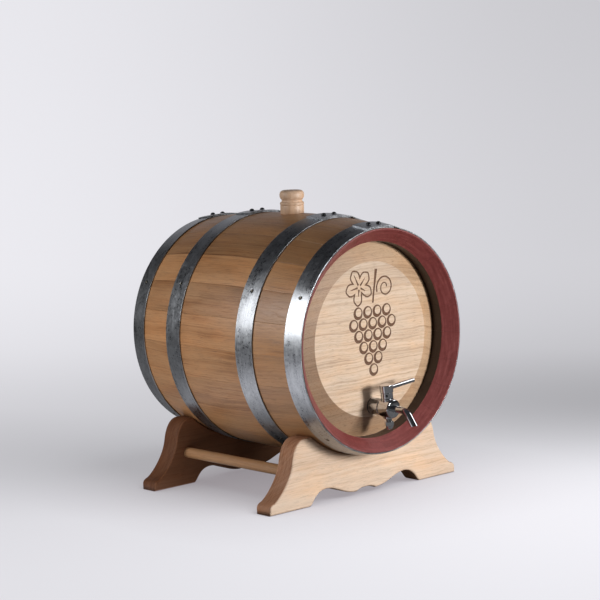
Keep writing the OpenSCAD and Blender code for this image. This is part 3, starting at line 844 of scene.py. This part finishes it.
# a head from its inner face to its flat: (radius, distance from the barrel's middle)
HEAD_PROFILE = [
    (104, HEAD_IN), (WALL_R - 0.5, 114.5), (WALL_R + 4.2, 114.5), (WALL_R + 4.5, 114.8),
    (WALL_R + 4.5, 120.2), (WALL_R + 4.2, 120.5), (WALL_R - 0.5, 120.5),
    (FLAT_R + 0.6, HEAD_OUT - 0.28), (FLAT_R - 0.1, HEAD_OUT - 0.04), (FLAT_R - 0.7, HEAD_OUT)]
HEAD_TONES = (-0.14, -0.02, 0.005, -0.01)          # added to 1, top board first; the top board's darker tone is painted shade below the top rim


def head(side, sign, seed, motif=None):
    """Four boards cut from one disc, numbered from the top."""
    count = 224
    turns = [2 * pi * j / count for j in range(count)]
    disc = loft([[(r * cos(turn), MID_Y + sign * out, AXIS_Z + r * sin(turn)) for turn in turns]
                 for r, out in HEAD_PROFILE])
    for i in range(4):
        node = f"head_{side}_board_{i + 1}"
        ob = make(node + "_wood", disc)
        if i < 3:
            keep_side(ob, AXIS_Z + HEAD_JOINTS[i] + HEAD_GAP, upper=True)
        if i > 0:
            keep_side(ob, AXIS_Z + HEAD_JOINTS[i - 1] - HEAD_GAP, upper=False)
        if motif and i < 3:
            boolean(ob, motif)
        elif motif:
            bore(ob, SHANK_R + 0.2, 100, 140, 64, shank_place)
        finish_shading(ob, 15, True)
        adopt(ob, node, "head_oak", seed, tone=1.0 + HEAD_TONES[i])


head("front", -1, seed=0.37, motif=grape_motif())
head("rear", 1, seed=0.71)


# ---------------------------------------------------------------- hoops, rivets, nails
def hoop(node, seed):
    """A strip with rounded edges that runs once round and laps over itself at the top."""
    y, width = HOOPS[node]
    start_r = float(stave_r(y - width / 2)) + 0.15
    end_r = float(stave_r(y + width / 2)) + 0.15
    thick, edge = HOOP_T - 0.02, 0.42
    section = []                                   # (along the width, height)
    for cx, cz, first in ((width - edge, thick - edge, 0), (edge, thick - edge, 90),
                          (edge, edge, 180), (width - edge, edge, -90)):
        section += arc((cx, cz), edge, first, first + 90, 3)
    slope = 5.0                                    # degrees in which the upper lap comes down
    stops = np.concatenate([np.arange(-LAP, LAP, 0.95), np.arange(LAP, LAP + slope, 0.5),
                            np.arange(LAP + slope, 360 + LAP + 0.1, 1.25), [360 + LAP]])
    loops = []
    for angle in stops:
        q = min(max((angle - LAP) / slope, 0.0), 1.0)
        lift = HOOP_T * (1 - q * q * (3 - 2 * q))
        s, c = sind(angle), cosd(angle)
        loop = []
        for along, height in section:
            r = start_r + (end_r - start_r) * along / width + height + lift
            loop.append((r * s, MID_Y + y - width / 2 + along, AXIS_Z + r * c))
        loops.append(loop)
    ob = make(node + "_band", loft(loops), sharp=40, weighted=True)
    adopt(ob, node, "hoop_steel", seed, phi=y)


def dome(head_r, head_h, shank_r, shank_l, dimple=0.0):
    """A nail's or rivet's profile: a shank below zero and a domed head above."""
    profile = [(0, -shank_l), (shank_r, -shank_l), (shank_r, 0.0), (head_r - 0.15, 0.0),
               (head_r, 0.12 * head_h)]
    for i in range(1, 9):
        angle = 90 * i / 8
        r = head_r * cosd(angle)
        sink = dimple * max(0.0, 1 - (r / (0.6 * head_r)) ** 2)
        profile.append((r if i < 8 else 0, head_h * (0.12 + 0.88 * sind(angle)) - sink))
    return profile


def fixings():
    """Two rivets through each hoop's lap, and four nails round it."""
    rivets, nails = Geo(), Geo()
    for y, width in HOOPS.values():
        radius = float(stave_r(y - width / 2) + stave_r(y + width / 2)) / 2 + 0.15
        for angle in (-3.4, 3.4):
            lathe(dome(3.0, 2.7, 1.6, 3.0), 28,
                  surface_place(angle, y, radius, 2 * HOOP_T + 0.02), rivets)
        for angle in (-NAIL_DEGREES[1], -NAIL_DEGREES[0], *NAIL_DEGREES):
            lathe(dome(1.7, 0.9, 0.8, 9.5, dimple=0.35), 24,
                  surface_place(angle, y, radius, HOOP_T), nails)
    adopt(make("hoop_rivets_heads", rivets, 35), "hoop_rivets", "rivet_steel")
    adopt(make("hoop_nails_heads", nails, 35), "hoop_nails", "nail_steel")


for i, key in enumerate(HOOPS):
    hoop(key, seed=0.21 + 0.29 * i)
fixings()


# ---------------------------------------------------------------- bung
def bung():
    """A turned bung: (radius, height above the barrel's axis)."""
    r, top = 14.5, BUNG_TOP
    profile = [(0, 123), (r - 1.9, 123), (r - 1.4, 123.5), (r - 0.3, BILGE_R),
               (r, BILGE_R + 0.8), (r, 154.3), (r - 0.15, 154.7), (r - 0.5, 155),
               (r - 0.3, 155.3), (r + 0.2, 155.6)]
    for b, c, d, count in (
            ((r + 0.6, 157.2), (r + 0.2, 158.4), (r - 1.2, 158.9), 10),
            ((r - 2.4, 160), (r - 2.2, 161.4), (r - 0.6, 162.8), 12),
            ((r + 0.9, 164.4), (r + 0.9, top - 4), (r - 0.3, top - 2.2), 16),
            ((r - 1.4, top - 0.6), (r - 3, top), (r - 5, top), 10)):
        profile += cubic(profile[-1], b, c, d, count)
    profile += [(r - 9, top), (0, top)]
    adopt(make("bung_turned", lathe(profile, 72, barrel_place)), "bung", "bung_oak", 0.4)


bung()

# ---------------------------------------------------------------- tap, fixed parts
SEAT = 12.0                                        # top of the plug's housing


def tap_body():
    """A shank out of the head, a housing for the plug across it, and both bores."""
    profile = [(0, 96), (SHANK_R - 0.8, 96), (SHANK_R, 96.8), (SHANK_R, 131), (9.6, 131),
               (10.2, 131.6), (10.2, 145.5)]
    profile += arc((9.0, 145.5), 1.2, 0, 90, 8)[1:] + [(8.8, 146.7), (8.8, 148.2)]
    profile += arc((10.4, 149.2), 1, -90, 0, 6) + arc((8.4, 163), 3, 0, 62, 12)[1:]
    profile += [(6.5, 166), (0, 166)]
    housing = [(0, -12.3), (6.1, -12.3), (6.6, -11.8), (6.6, 0), (7.6, 0.8),
               (7.6, SEAT - 0.5), (7.1, SEAT), (0, SEAT)]
    plug_r = [(5.6 + z * 0.058, z) for z in (-20, 20)]      # the plug's taper
    ob = make("tap_body_cast", lathe(profile, 96, shank_place))
    boolean(ob, lathe(housing, 80, plug_place), "UNION")
    bore(ob, 4, 90, 156, 48, shank_place)
    bore(ob, 4.25, 155, 167, 48, shank_place)
    boolean(ob, lathe([(0, -20), *plug_r, (0, 20)], 64, plug_place))
    finish_shading(ob, 32, True)
    adopt(ob, "tap_body", "tap_chrome")


SPOUT_R, SPOUT_WALL = 4.2, 0.9
SPOUT_BEND, BEND_START, BEND_DEGREES = 14.0, -177.0, 58.0
SPOUT_DROP, TIP_SLANT = 12.6, 22.0                 # straight end; slant of its cut, degrees


def spout_path():
    """Stations along the spout: (y, z, degrees turned down)."""
    path = [(y, 0, 0.0) for y in np.linspace(-162.2, BEND_START, 5)[:-1]]
    path += [(BEND_START - SPOUT_BEND * sind(a), SPOUT_BEND * cosd(a) - SPOUT_BEND, a)
             for a in np.linspace(0, BEND_DEGREES, 25)]
    y, z, _ = path[-1]
    path += [(y - s * cosd(BEND_DEGREES), z - s * sind(BEND_DEGREES), BEND_DEGREES)
             for s in (0.5, 1.2, 4, 8, SPOUT_DROP)]
    return path


def tube(path, radius):
    loops = []
    for i, (y, z, angle) in enumerate(path):
        up = np.array([0, -sind(angle), cosd(angle)])
        forward = np.array([0, -cosd(angle), -sind(angle)])
        loop = []
        for j in range(48):
            turn = 2 * pi * j / 48
            rise = radius * cos(turn)
            p = np.array((0, y, z)) + np.array([radius * sin(turn), 0, 0]) + rise * up
            if i == len(path) - 1:
                p = p + forward * (rise * tan(radians(TIP_SLANT)))
            loop.append(p)
        loops.append(loop)
    return np.array(loops)


def tap_spout():
    """A bent tube, cut on a slant."""
    path = spout_path()
    outside, inside = tube(path, SPOUT_R), tube(path, SPOUT_R - SPOUT_WALL)
    loops = [tap_place(loop) for loop in np.concatenate([outside, inside[::-1]])]
    adopt(make("tap_spout_tube", loft(loops, wrap=True), 35), "tap_spout", "tap_chrome")


# ---------------------------------------------------------------- tap, turning parts
def lever_place(p):
    """Local Z runs out along the lever, toward +X."""
    return plug_place(np.stack([p[:, 2], p[:, 1], 23.7 + p[:, 0]], 1))


def screw_place(p):
    """Local Z runs out along the set screw."""
    c, s = cosd(-137), sind(-137)
    return plug_place(np.stack([p[:, 2] * c - p[:, 1] * s, p[:, 2] * s + p[:, 1] * c,
                                16.2 - p[:, 0]], 1))


def tap_handle():
    profile = [(0, SEAT + 0.1), (6.9, SEAT + 0.1), (7.3, SEAT + 0.5), (7.3, 18.7),
               (7.5, 19.1), (8, 19.5)] + arc((7.2, 27.6), 0.8, 0, 90, 8) + [(0, 28.4)]
    hub = make("tap_hub_turned", lathe(profile, 80, plug_place))
    bore(hub, 4.05, 5, 20.2, 40, plug_place)
    bore(hub, 2.75, -4, 12, 40, lever_place)
    bore(hub, 1.55, 1, 10, 32, screw_place)
    finish_shading(hub, 32, True)
    adopt(hub, "tap_handle_hub", "tap_chrome")
    profile = [(0, -3.9), (2.7, -3.9)] + arc((2.0, 46.3), 0.7, 0, 90, 6) + [(0, 47.0)]
    adopt(make("tap_lever_rod", lathe(profile, 40, lever_place), 35), "tap_lever", "tap_chrome")
    profile = [(0, 4.05), (1.3, 4.05), (1.5, 4.25), (1.5, 6.6), (1.35, 6.75), (0, 6.75)]
    screw = make("tap_set_screw_socket", lathe(profile, 32, screw_place))
    bore(screw, 0.85, 5.4, 8, 6, screw_place)
    finish_shading(screw, 30, True)
    adopt(screw, "tap_set_screw", "screw_steel", slot="rivet_steel")


def tap_underside():
    """Three dished washers and a domed hexagon nut below the housing."""
    washers = Geo()
    for i in range(3):
        z = -13.4 - i * 1.08
        lathe([(2.55, z + 0.45), (3.9, z), (3.9, z + 0.5), (2.55, z + 0.95)], 48,
              plug_place, washers)
    adopt(make("tap_spring_washers_turned", washers), "tap_spring_washers", "tap_chrome")
    profile = [(0, -21.4), (5.1, -21.4), (5.6, -20.9), (5.6, -16.3), (5.1, -15.8), (0, -15.8)]
    nut = make("tap_cap_nut_hex", lathe(profile, 6, plug_place))
    cap = [(4.5 * cosd(a), -22.4 - 4.1 * sind(a)) for a in range(80, -1, -10)]
    cap = [(0, -26.5)] + cap + [(4.5, -20.9), (0, -20.9)]
    boolean(nut, lathe(cap, 56, plug_place), "UNION")
    bore(nut, 2.5, -22.3, -10, 32, plug_place)
    finish_shading(nut, 28, True)
    adopt(nut, "tap_cap_nut", "tap_chrome")


tap_body()
tap_spout()
tap_handle()
tap_underside()

# ---------------------------------------------------------------- stand
BOARD_TOP = 82.3


def half_outline():
    """A board's +X half, from the middle of its foot to the saddle: (x, z)."""
    w = STAND_HALF
    points = [(0, 8.2)]
    for b, c, d, count in (((5, 8.2), (10, 8), (16, 4.8), 8),
                           ((38, 5.2), (50, 16.8), (66, 16.8), 16),
                           ((85, 16.6), (87, 2), (93, 0), 18)):
        points += cubic(points[-1], b, c, d, count)
    points += [(w, 0), (w, 6.5)]
    for b, c, d, count in (
            ((w, 10.5), (w - 3, 12.5), (w - 7.5, 13.8), 8),
            ((w - 17.5, 20), (w - 33.5, 38), (w - 36.5, 56), 20),
            ((w - 38.5, 68), (w - 44.5, BOARD_TOP), (w - 57.5, BOARD_TOP), 20)):
        points += cubic(points[-1], b, c, d, count)
    return points


def outline(y):
    """A board's outline with a saddle that fits the barrel at y."""
    right = half_outline()
    radius = float(stave_r(y)) + 0.12
    reach = acos((AXIS_Z - BOARD_TOP) / radius)
    saddle = [(radius * sin(a), AXIS_Z - radius * cos(a)) for a in np.linspace(reach, -reach, 73)]
    return np.array(right + saddle + [(-x, z) for x, z in reversed(right[1:])])


def cradle(node, sign, seed, tone, stain):
    """A board with rounded edges and a socket for each dowel."""
    edge = 2.6
    # (depth from the outer face, inset of the outline)
    layers = [(edge * (1 - cosd(q)), edge * (1 - sind(q))) for q in (0, 15, 30, 45, 60, 75, 90)]
    thick = BOARD_OUT - BOARD_IN
    layers += ([(thick * part, 0.0) for part in (0.3, 0.5, 0.7)]
               + [(thick - depth, shrink) for depth, shrink in reversed(layers)])
    loops = []
    for depth, shrink in layers:
        y = BOARD_OUT - depth
        p = inset(outline(y), shrink)
        loops.append(np.stack([p[:, 0], np.full(len(p), MID_Y + sign * y), p[:, 1]], 1))
    ob = make(node + "_board", loft(loops), sharp=50, weighted=True)
    for side in (-1, 1):
        bore(ob, DOWEL_R + 0.05, 0, 13.2, 48, dowel_place(side * DOWEL_X, sign, BOARD_IN - 1))
    finish_shading(ob, 50, True)
    adopt(ob, node, "cradle_oak", seed, tone=tone, stain=stain)


def stretcher(node, side, seed):
    """A dowel with chamfered ends."""
    profile = [(0, -DOWEL_HALF), (DOWEL_R - 1, -DOWEL_HALF), (DOWEL_R, 1 - DOWEL_HALF),
               (DOWEL_R, DOWEL_HALF - 1), (DOWEL_R - 1, DOWEL_HALF), (0, DOWEL_HALF)]
    turned = lathe(profile, 48, dowel_place(side * DOWEL_X, 1, 0))
    adopt(make(node + "_turned", turned), node, "dowel_oak", seed)


cradle("cradle_front", -1, seed=0.23, tone=1.0, stain=0.0)
# the rear board's lower tone and deep brown are painted shade, for the shadow of the front board
# and the barrel
cradle("cradle_rear", 1, seed=0.64, tone=0.80, stain=0.85)
stretcher("stretcher_left", -1, seed=0.3)
stretcher("stretcher_right", 1, seed=0.8)

# ---------------------------------------------------------------- CAD nodes that stay
for key, mat in (("head_dowel_pins", "dowel_oak"), ("tap_plug", "tap_chrome"),
                 ("tap_outer_washer", "washer_rubber"), ("tap_inner_washer", "washer_rubber"),
                 ("tap_lock_nut", "tap_chrome")):
    dress(frame["nodes"][key], mat, seed=0.3)

# ---------------------------------------------------------------- studio
NEAR_GLOW = 0.76           # share of the near floor's brightness that is its own glow
FLOOR_GAIN = 1.0
BACKDROP = (0.686, 0.727)  # from the camera past the barrel, in x and y
# the backdrop up the view: (height, 8-bit sRGB grey) at the view's left and right; the darker
# greys low in each list are painted shade, the barrel's shadow on the floor at the left and the
# foot of the wall in shade at the right
LEFT_GREYS = [(0.0, 225), (0.13, 222), (0.2, 199), (0.26, 194), (0.32, 208), (0.42, 229),
              (0.58, 239), (1.0, 232)]
RIGHT_GREYS = [(0.0, 235), (0.13, 244), (0.21, 240), (0.27, 198), (0.335, 158), (0.42, 200),
               (0.58, 213), (1.0, 200)]


def linear_paper(grey):
    """The paper's slightly violet linear colour for an sRGB grey."""
    return tuple((((grey / 255) + 0.055) / 1.055) ** 2.4 * k for k in (1.0, 0.993, 1.045))


def camera_paper(net, dist):
    """The paper's glow and albedo as the camera sees them."""
    across, up, _ = net.split(net.coords("Window"))
    left, right = (net.ramp(up, [(at, linear_paper(grey)) for at, grey in greys], "B_SPLINE")
                   for greys in (LEFT_GREYS, RIGHT_GREYS))
    tone = net.mix(net.rise(across, start=-0.1, end=1.1), left, right)
    # near the object the floor takes light and shadow from the lamps; farther it is even
    far = net.rise(dist, start=0.30, end=0.95)
    share = net.mad(far, 1 - NEAR_GLOW, NEAR_GLOW)
    # painted shadow: the floor's glow darkens with ambient occlusion under and around the object
    open_sky = net.new("ShaderNodeAmbientOcclusion", {"Distance": 0.22}, samples=12)
    shade = net.mix(open_sky.outputs["AO"], (0.54, 0.49, 0.50), (1.0, 1.0, 1.0))
    glow = net.tint(net.tint(tone, net.grey(share)), shade)
    return glow, net.tint(tone, net.grey(net.mul(net.invert(share), FLOOR_GAIN)))


def object_glow(net, x, y, z, dist):
    """How brightly floor and wall shine on the object: most from behind it and its left."""
    safe_dist = lambda: net.math("MAXIMUM", dist, 0.01)
    wall = net.rise(z, start=0.01, end=0.20)
    toward = net.add(net.mul(x, BACKDROP[0]), net.mul(y, BACKDROP[1]))
    sector = net.rise(net.math("DIVIDE", toward, safe_dist()), start=0.80, end=0.97)
    behind = net.mul(net.rise(y, start=0.08, end=0.34), net.fall(x, start=-0.2, end=0.3))
    horizon = net.fall(dist, start=0.75, end=1.30)
    leftward = net.math("DIVIDE", net.mad(x, -0.88, net.mul(y, 0.47)), safe_dist())
    leftward = net.rise(leftward, start=0.45, end=0.86)
    # the left floor glows, save behind the object; all of it fades close in and far out
    floor_glow = net.mul(leftward, net.math("SUBTRACT", 1.12, net.mul(behind, 1.08)))
    floor_glow = net.mul(net.rise(dist, start=0.06, end=0.32), net.add(floor_glow, 0.07))
    floor_glow = net.mul(floor_glow, net.math("MAXIMUM", horizon, net.mul(sector, 0.8)))
    wall_glow = net.mad(sector, 0.42, 0.03)
    return net.add(net.mul(wall, wall_glow), net.mul(net.invert(wall), floor_glow))


def studio_sweep():
    net = material("studio_sweep")
    x, y, z = net.split(net.coords("Object"))
    dist = net.hypot(x, y)
    seen_glow, seen_albedo = camera_paper(net, dist)
    glow = net.tint((1.0, 0.995, 1.04), net.grey(object_glow(net, x, y, z, dist)))
    is_camera = net.new("ShaderNodeLightPath").outputs["Is Camera Ray"]
    diffuse = net.new("ShaderNodeBsdfDiffuse", {
        "Color": net.mix(is_camera, (0.10, 0.10, 0.10), seen_albedo)})
    emission = net.new("ShaderNodeEmission", {
        "Color": net.mix(is_camera, glow, seen_glow), "Strength": 1.0})
    both = net.new("ShaderNodeAddShader", {0: diffuse.outputs[0], 1: emission.outputs[0]})
    net.new("ShaderNodeOutputMaterial", {0: both.outputs[0]})


def studio_floor():
    """A round floor that curves up into a wall: (radius, height)."""
    ground, flat, curve = -0.4, 2600, 700
    profile = [(r, ground) for r in (0, 400, 1200, flat)]
    profile += [(flat + curve * sind(a), ground + curve * (1 - cosd(a)))
                for a in range(10, 91, 10)]
    profile += [(flat + curve, 1250)]
    ob = make("studio_floor", lathe(profile, 96, lambda p: p), 60)
    ob.data.materials.append(MATERIALS["studio_sweep"])
    ob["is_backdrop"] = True
    return ob


def studio_world():
    """A dim sky, with the backdrop paper going on above the bowl behind the barrel."""
    world = bpy.data.worlds.new("studio")
    scene.world = world
    world.use_nodes = True
    net = NodeNet(world.node_tree)
    height = net.split(net.coords("Generated"))[2]
    sky = net.ramp(height, [(0.0, (0.06, 0.06, 0.064)), (0.25, (0.045, 0.045, 0.048)),
                            (1.0, (0.045, 0.045, 0.05))])
    x, y, z = net.split(net.coords("Generated"))
    flat = net.hypot(x, y)
    toward = net.mad(x, BACKDROP[0], net.mul(y, BACKDROP[1]))
    paper = net.math("DIVIDE", toward, net.math("MAXIMUM", flat, 0.01))
    paper = net.rise(paper, start=0.80, end=0.97)
    paper = net.mul(paper, net.fall(z, start=0.46, end=0.56))
    sky = net.mix(paper, sky, (0.44, 0.44, 0.47))
    background = net.new("ShaderNodeBackground", {"Color": sky, "Strength": 1.0})
    net.new("ShaderNodeOutputWorld", {0: background.outputs[0]})


def add_light(light, direction):
    """A light object that shines back along the direction given."""
    ob = bpy.data.objects.new(light.name, light)
    ob.rotation_mode = "QUATERNION"
    ob.rotation_quaternion = direction.to_track_quat("Z", "Y")
    scene.collection.objects.link(ob)
    return ob


def area(name, direction, dist, width, height, power):
    """A rectangular light aimed at the barrel; metres and watts."""
    light = bpy.data.lights.new(name, "AREA")
    light.shape, light.size, light.size_y, light.energy = "RECTANGLE", width, height, power
    light.spread = radians(180)
    direction = Vector(direction).normalized()
    ob = add_light(light, direction)
    ob.location = Vector((0, 0, 0.19)) + direction * dist
    return ob


def floor_lamp():
    """A soft sun 48 degrees up, strong enough to light a level floor fully."""
    elevation = 48
    light = bpy.data.lights.new("floor_sun", "SUN")
    light.energy, light.angle = pi / sind(elevation), radians(45)
    return add_light(light, Vector((0.22 * cosd(elevation), -0.97 * cosd(elevation),
                                    sind(elevation))))


studio_sweep()
floor = studio_floor()
studio_world()
object_lights = [
    area("key", (0.27, -0.96, 0.13), dist=1.7, width=0.38, height=0.42, power=31),
    area("right_card", (0.76, -0.46, 0.46), dist=1.5, width=0.56, height=0.56, power=4.6),
    area("left_box", (-0.88, 0.36, 0.365), dist=1.30, width=0.56, height=0.62, power=8.4)]
floor_sun = floor_lamp()

# the area lights reach the barrel only; the floor has its own soft lamp
on_floor = bpy.data.collections.new("on_floor")
on_floor.objects.link(floor)
on_object = bpy.data.collections.new("on_object")
for ob in scene.objects:
    if ob.type == "MESH" and ob is not floor:
        on_object.objects.link(ob)
floor_sun.light_linking.receiver_collection = on_floor
for ob in object_lights:
    ob.light_linking.receiver_collection = on_object


# ---------------------------------------------------------------- camera
def add_camera():
    """A long lens in front, to the left and a little above, rolled slightly."""
    azimuth, elevation, roll = radians(-43.343), radians(7.266), radians(-1.660)
    back = Vector((sin(azimuth) * cos(elevation), -cos(azimuth) * cos(elevation),
                   sin(elevation)))
    level = Vector((cos(azimuth), sin(azimuth), 0))
    upright = back.cross(level)
    right = cos(roll) * level + sin(roll) * upright
    up = -sin(roll) * level + cos(roll) * upright
    data = bpy.data.cameras.new("camera")
    data.sensor_width, data.lens = 36, 122.85
    data.clip_start, data.clip_end = 0.05, 50
    ob = bpy.data.objects.new("camera", data)
    eye = Vector((0, MID_Y, AXIS_Z)) / 1000 + Vector((-1.70977, -1.82086, 0.35578))
    rows = [(right[i], up[i], back[i], eye[i]) for i in range(3)]
    ob.matrix_world = Matrix((*rows, (0, 0, 0, 1)))
    scene.collection.objects.link(ob)
    scene.camera = ob


add_camera()

low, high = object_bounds()
